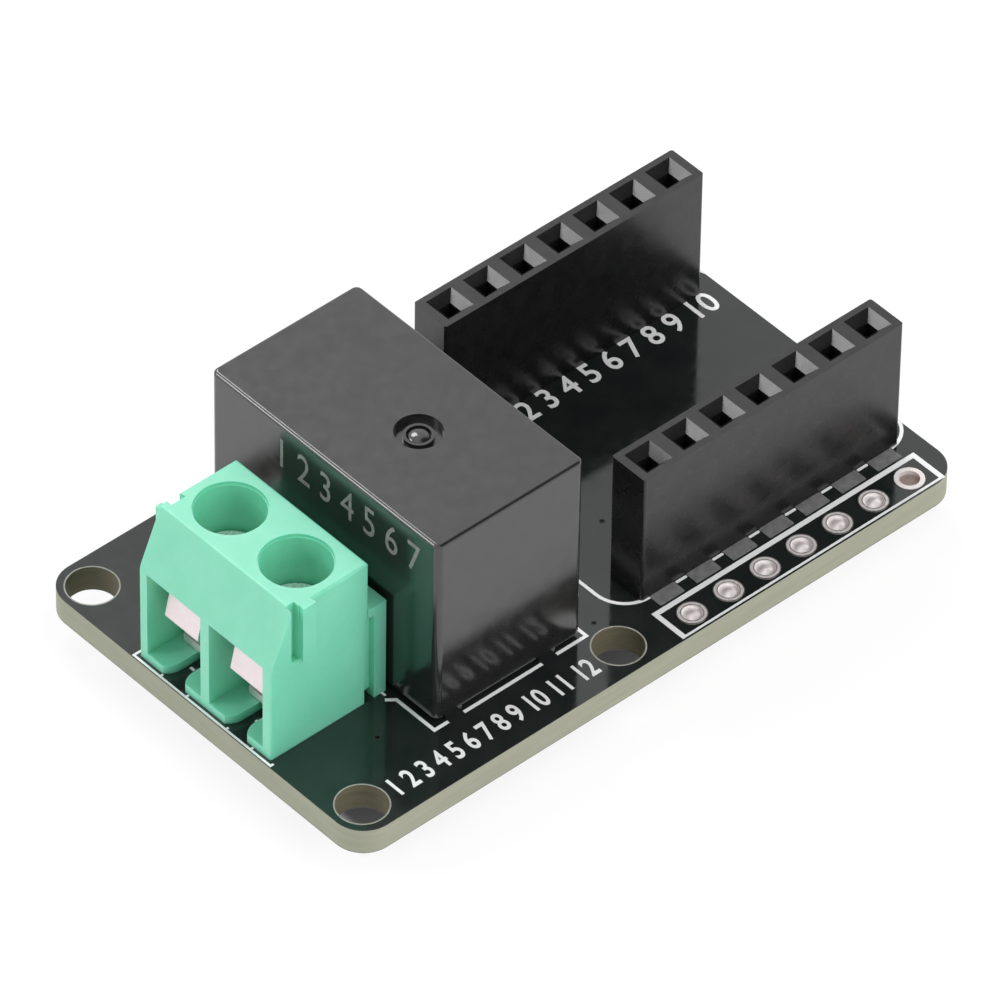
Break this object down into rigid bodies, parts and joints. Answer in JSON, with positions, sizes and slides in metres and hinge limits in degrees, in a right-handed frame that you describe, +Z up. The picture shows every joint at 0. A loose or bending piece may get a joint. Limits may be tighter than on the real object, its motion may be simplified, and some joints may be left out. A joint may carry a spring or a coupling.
{
  "type": "relay module board",
  "caption": "Small relay board: a sealed relay behind a screw terminal, two socket rows for a plug-in board, edge solder pads and four mounting holes.",
  "frame": {"origin": "centre of the bounding box at the tips of the trimmed pin tails, on which the board stands", "axes": "+X along the board from the screw terminals to the sockets, +Y across it away from the filled edge pads, +Z up"},
  "size_m": [0.0414, 0.0248, 0.0156],
  "materials": {
    "board": "black solder mask over glass laminate, olive at the sawn edge",
    "tin": "bright tinned copper and solder",
    "socket_black": "moulded, polished sides",
    "socket_contact": "plated spring contact",
    "terminal_green": "moulded, satin",
    "screw_steel": "zinc plated",
    "clamp_tin": "tinned, slightly pink",
    "relay_black": "moulded, satin gloss",
    "relay_floor": "moulded, matt",
    "iron": "nickel plated iron",
    "bobbin_white": "moulded, natural",
    "copper": "enamelled wire",
    "spring_bronze": "rolled strip",
    "contact_silver": "turned silver alloy",
    "package_black": "moulded, matt",
    "chip_dark": "glazed"
  },
  "bodies": {
    "module": {"circuit_board": "board", "front_edge_plating": "tin", "rear_edge_plating": "tin", "front_edge_solder": "tin", "front_socket_solder": "tin", "rear_socket_solder": "tin", "terminal_solder": "tin", "relay_solder": "tin", "front_socket_strip": "socket_black", "rear_socket_strip": "socket_black", "terminal_housing": "terminal_green", "terminal_bar_left": "clamp_tin", "terminal_bar_right": "clamp_tin", "relay_cover": "relay_black", "relay_base": "relay_floor", "relay_yoke": "iron", "relay_core": "iron", "relay_bobbin": "bobbin_white", "relay_winding": "copper", "relay_coil_pin_left": "tin", "relay_coil_pin_right": "tin", "relay_common_terminal": "tin", "relay_fixed_terminal": "tin", "relay_fixed_contact": "contact_silver", "driver_transistor": "package_black", "driver_transistor_leads": "tin", "flyback_diode": "package_black", "flyback_diode_leads": "tin", "base_resistor": "chip_dark", "bleed_resistor": "chip_dark", "chip_end_caps": "tin", "front_socket_contact_1": "socket_contact", "front_socket_contact_2": "socket_contact", "front_socket_contact_3": "socket_contact", "front_socket_contact_4": "socket_contact", "front_socket_contact_5": "socket_contact", "front_socket_contact_6": "socket_contact", "front_socket_contact_7": "socket_contact", "rear_socket_contact_1": "socket_contact", "rear_socket_contact_2": "socket_contact", "rear_socket_contact_3": "socket_contact", "rear_socket_contact_4": "socket_contact", "rear_socket_contact_5": "socket_contact", "rear_socket_contact_6": "socket_contact", "rear_socket_contact_7": "socket_contact"},
    "left_screw": {"terminal_screw_left": "screw_steel"},
    "left_cage": {"terminal_cage_left": "clamp_tin"},
    "right_screw": {"terminal_screw_right": "screw_steel"},
    "right_cage": {"terminal_cage_right": "clamp_tin"},
    "armature": {"relay_armature": "iron", "relay_contact_leaf": "spring_bronze", "relay_leaf_studs": "iron", "relay_moving_contact": "contact_silver"}
  },
  "joints": [
    {"name": "left_screw_turn", "type": "hinge", "parent": "module", "child": "left_screw", "pos_m": [-0.01645, 0.00249, 0.00865], "axis": [0, 0, -1], "range_deg": [0, 1200]},
    {"name": "left_cage_lift", "type": "slide", "parent": "module", "child": "left_cage", "axis": [0, 0, 1], "range_m": [0, 0.0015]},
    {"name": "right_screw_turn", "type": "hinge", "parent": "module", "child": "right_screw", "pos_m": [-0.01645, -0.00259, 0.00865], "axis": [0, 0, -1], "range_deg": [0, 1200]},
    {"name": "right_cage_lift", "type": "slide", "parent": "module", "child": "right_cage", "axis": [0, 0, 1], "range_m": [0, 0.0015]},
    {"name": "armature_tilt", "type": "hinge", "parent": "module", "child": "armature", "pos_m": [-0.00745, 0.0068, 0.01315], "axis": [1, 0, 0], "range_deg": [0, 2.8], "stiffness_Nm_per_rad": 0.002, "springref_deg": -4.58}
  ],
  "couplings": [
    {"joint": "left_screw_turn", "follows": "left_cage_lift", "rad_per_m": 13963},
    {"joint": "right_screw_turn", "follows": "right_cage_lift", "rad_per_m": 13963}
  ]
}
